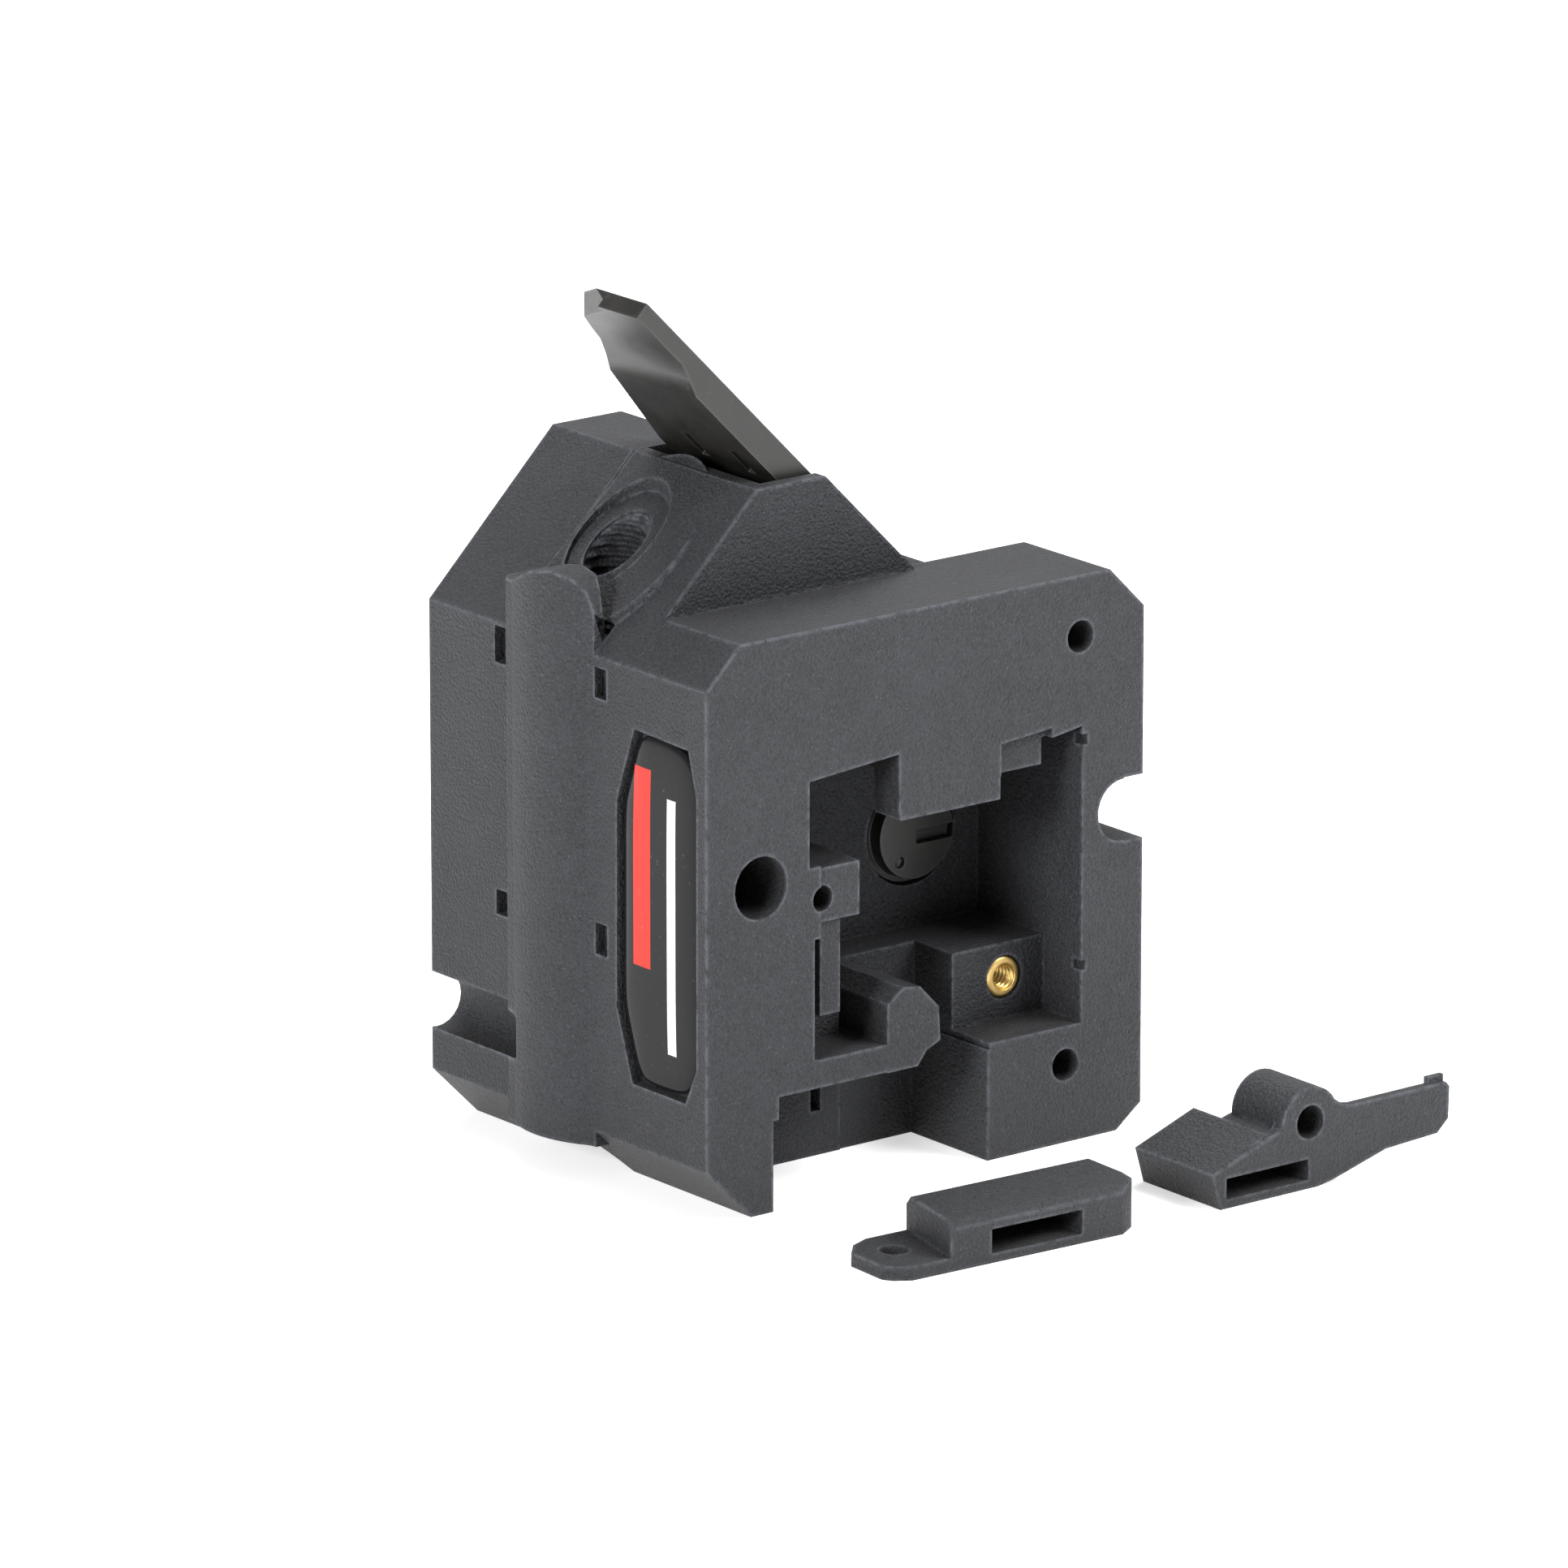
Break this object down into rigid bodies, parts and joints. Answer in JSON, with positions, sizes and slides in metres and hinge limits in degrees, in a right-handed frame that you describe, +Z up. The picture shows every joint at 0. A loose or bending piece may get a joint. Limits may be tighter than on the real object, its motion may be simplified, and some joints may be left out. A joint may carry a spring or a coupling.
{
  "type": "filament extruder gear assembly",
  "caption": "Compact geared filament extruder with a split black housing, thumb idler lever and driven gear pair, with a magnet holder and a sensor rocker beside it.",
  "frame": {"origin": "on the flat underside of the housing, 25 mm from its left side and 20 mm behind its front face", "axes": "+X to the right along the front face, +Y towards the motor side, +Z up along the filament path"},
  "size_m": [0.0682, 0.0652, 0.0817],
  "materials": {
    "sintered_nylon": "dyed black, fine grained",
    "moulded_black": "satin",
    "badge_gloss": "high gloss",
    "brass": "polished",
    "steel": "ground",
    "dark_steel": "black oxide",
    "gear_plastic": "smooth",
    "tube_plastic": "waxy"
  },
  "bodies": {
    "housing": {"front_shell": "sintered_nylon", "rear_shell": "sintered_nylon", "side_badge": "badge_gloss", "threaded_insert": "brass", "outlet_tube": "tube_plastic", "drive_bearing_front": "steel", "drive_bearing_rear": "steel", "pinion_bearing": "steel", "lever_pivot_pin": "steel", "shell_screw_1": "dark_steel", "shell_screw_2": "dark_steel", "shell_screw_3": "dark_steel", "shell_screw_4": "dark_steel"},
    "lever": {"thumb_lever": "moulded_black", "idler_axle": "steel", "idler_bush": "brass"},
    "idler": {"idler_gear": "steel"},
    "drive_train": {"drive_shaft": "steel", "drive_gear": "steel", "drive_gear_set_screw": "dark_steel", "large_gear": "gear_plastic"},
    "pinion": {"input_pinion": "steel"},
    "cam": {"preload_cam": "moulded_black"},
    "plunger": {"spring_plunger": "moulded_black", "idler_spring": "steel"},
    "sensor_rocker": {"sensor_lever": "sintered_nylon"},
    "holder": {"magnet_holder": "sintered_nylon"}
  },
  "joints": [
    {"name": "lever_hinge", "type": "hinge", "parent": "housing", "child": "lever", "pos_m": [0.005, 0, 0.0475], "axis": [0, 1, 0], "range_deg": [0, 6.5], "stiffness_Nm_per_rad": 2, "springref_deg": -5.73},
    {"name": "idler_spin", "type": "hinge", "parent": "lever", "child": "idler", "pos_m": [-0.0204, 0.002, 0.036], "axis": [0, 1, 0], "continuous": true},
    {"name": "drive_spin", "type": "hinge", "parent": "housing", "child": "drive_train", "pos_m": [-0.0136, 0.002, 0.036], "axis": [0, 1, 0], "continuous": true},
    {"name": "pinion_spin", "type": "hinge", "parent": "housing", "child": "pinion", "pos_m": [-0.00311, 0.0115, 0.02866], "axis": [0, 1, 0], "continuous": true},
    {"name": "cam_turn", "type": "hinge", "parent": "housing", "child": "cam", "pos_m": [0.01, 0, 0.0271], "axis": [0, 1, 0], "range_deg": [0, 150]},
    {"name": "plunger_slide", "type": "slide", "parent": "housing", "child": "plunger", "axis": [0, 0, 1], "range_m": [0, 0.00104], "deforming": ["idler_spring"]},
    {"name": "sensor_lever_lift", "type": "slide", "parent": "housing", "child": "sensor_rocker", "axis": [0, 0, 1], "range_m": [0, 0.06]},
    {"name": "magnet_holder_lift", "type": "slide", "parent": "housing", "child": "holder", "axis": [0, 0, 1], "range_m": [0, 0.06]}
  ],
  "couplings": [
    {"joint": "idler_spin", "follows": "drive_spin", "ratio": -1},
    {"joint": "pinion_spin", "follows": "drive_spin", "ratio": -3},
    {"joint": "cam_turn", "follows": "plunger_slide", "rad_per_m": 2500}
  ]
}
